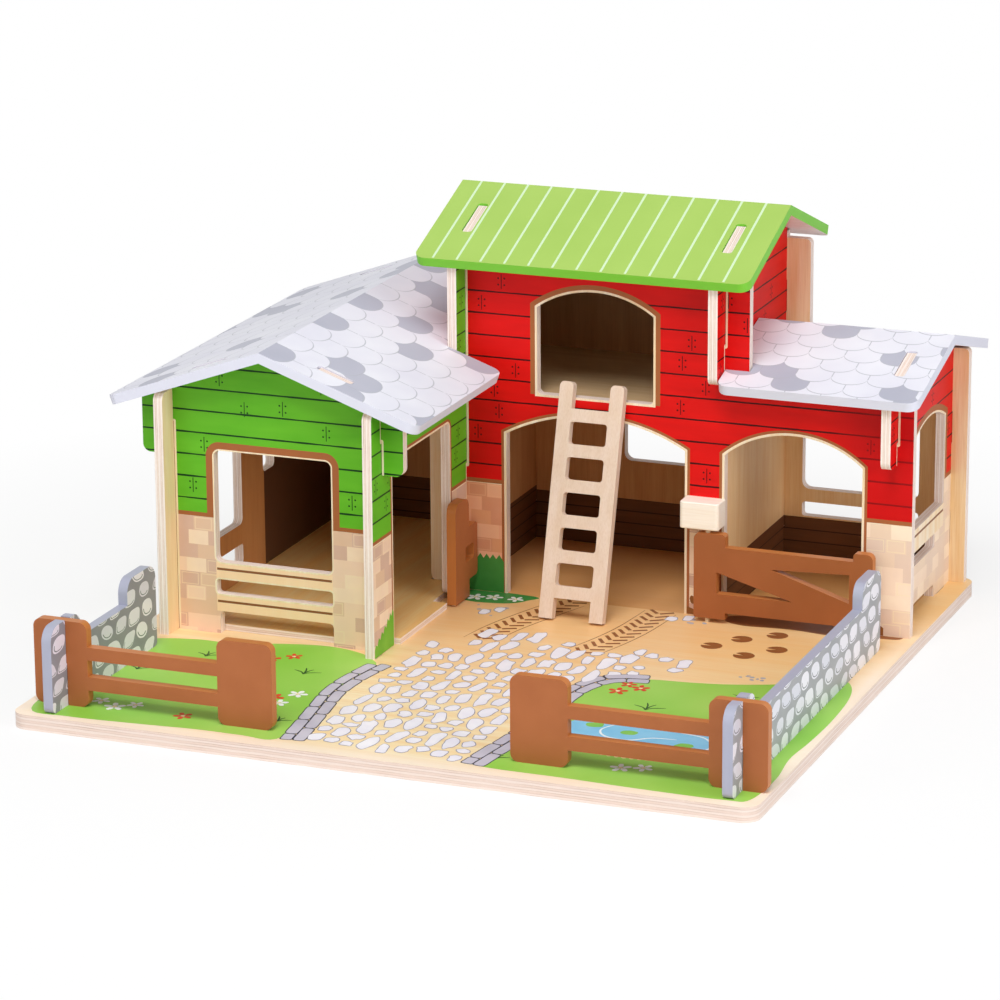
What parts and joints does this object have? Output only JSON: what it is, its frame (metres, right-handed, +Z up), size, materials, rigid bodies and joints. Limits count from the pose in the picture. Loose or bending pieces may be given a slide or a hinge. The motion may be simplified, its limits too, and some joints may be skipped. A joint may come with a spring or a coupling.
{
  "type": "toy barn",
  "caption": "Flat-pack wooden toy barn with a cottage wing, a loft tower, a lean-to stable with a swinging gate, lift-off roofs, a ladder and a fenced yard.",
  "frame": {"origin": "middle of the base board's underside", "axes": "+Z up, +X to the viewer's right along the front edge, +Y towards the rear wall"},
  "size_m": [0.4644, 0.4547, 0.255],
  "materials": {
    "board_print": "satin print on plywood",
    "plain_ply": "satin",
    "cottage_print": "satin print on plywood",
    "party_print": "satin print on plywood",
    "tile_print": "satin print on plywood",
    "barn_print": "satin print on plywood",
    "rear_print": "satin print on plywood",
    "green_roof_print": "satin print on plywood",
    "brown_paint": "satin paint on plywood",
    "plain_wood": "smooth sanded",
    "stone_print": "satin print on plywood"
  },
  "bodies": {
    "house": {"base_board": "board_print", "cottage_floor": "plain_ply", "cottage_front_wall": "cottage_print", "cottage_left_wall": "cottage_print", "cottage_right_wall": "party_print", "barn_front_wall": "barn_print", "tower_right_wall": "barn_print", "right_side_wall": "barn_print", "rear_wall": "rear_print", "loft_floor": "plain_ply", "gate_block": "plain_wood"},
    "cottage_roof": {"cottage_roof_left": "tile_print", "cottage_roof_right": "tile_print"},
    "tower_roof": {"tower_roof_front": "green_roof_print", "tower_roof_rear": "green_roof_print"},
    "lean_to_roof": {"lean_to_roof_front": "tile_print", "lean_to_roof_rear": "tile_print"},
    "gate": {"barn_gate": "brown_paint", "barn_gate_pins": "plain_wood"},
    "side_door": {"cottage_door": "brown_paint", "cottage_door_pin": "plain_wood"},
    "loft_ladder": {"ladder": "plain_wood"},
    "left_yard_wall": {"left_fence": "brown_paint", "left_stone_wall": "stone_print"},
    "right_yard_wall": {"right_fence": "brown_paint", "right_stone_wall": "stone_print"}
  },
  "joints": [
    {"name": "gate_hinge", "type": "hinge", "parent": "house", "child": "gate", "pos_m": [0.0953, 0.08, 0.009], "axis": [0, 0, -1], "range_deg": [0, 110]},
    {"name": "side_door_hinge", "type": "hinge", "parent": "house", "child": "side_door", "pos_m": [-0.0613, 0.0555, 0.009], "axis": [0, 0, -1], "range_deg": [0, 145]},
    {"name": "cottage_roof_lift", "type": "slide", "parent": "house", "child": "cottage_roof", "axis": [0, 0, 1], "range_m": [0, 0.035]},
    {"name": "tower_roof_lift", "type": "slide", "parent": "house", "child": "tower_roof", "axis": [0, 0, 1], "range_m": [0, 0.1]},
    {"name": "lean_to_roof_lift", "type": "slide", "parent": "house", "child": "lean_to_roof", "axis": [0, 0, 1], "range_m": [0, 0.045]},
    {"name": "ladder_lift", "type": "slide", "parent": "house", "child": "loft_ladder", "axis": [0, 0, 1], "range_m": [0, 0.05]},
    {"name": "left_fence_lift", "type": "slide", "parent": "house", "child": "left_yard_wall", "axis": [0, 0, 1], "range_m": [0, 0.06]},
    {"name": "right_fence_lift", "type": "slide", "parent": "house", "child": "right_yard_wall", "axis": [0, 0, 1], "range_m": [0, 0.06]}
  ]
}
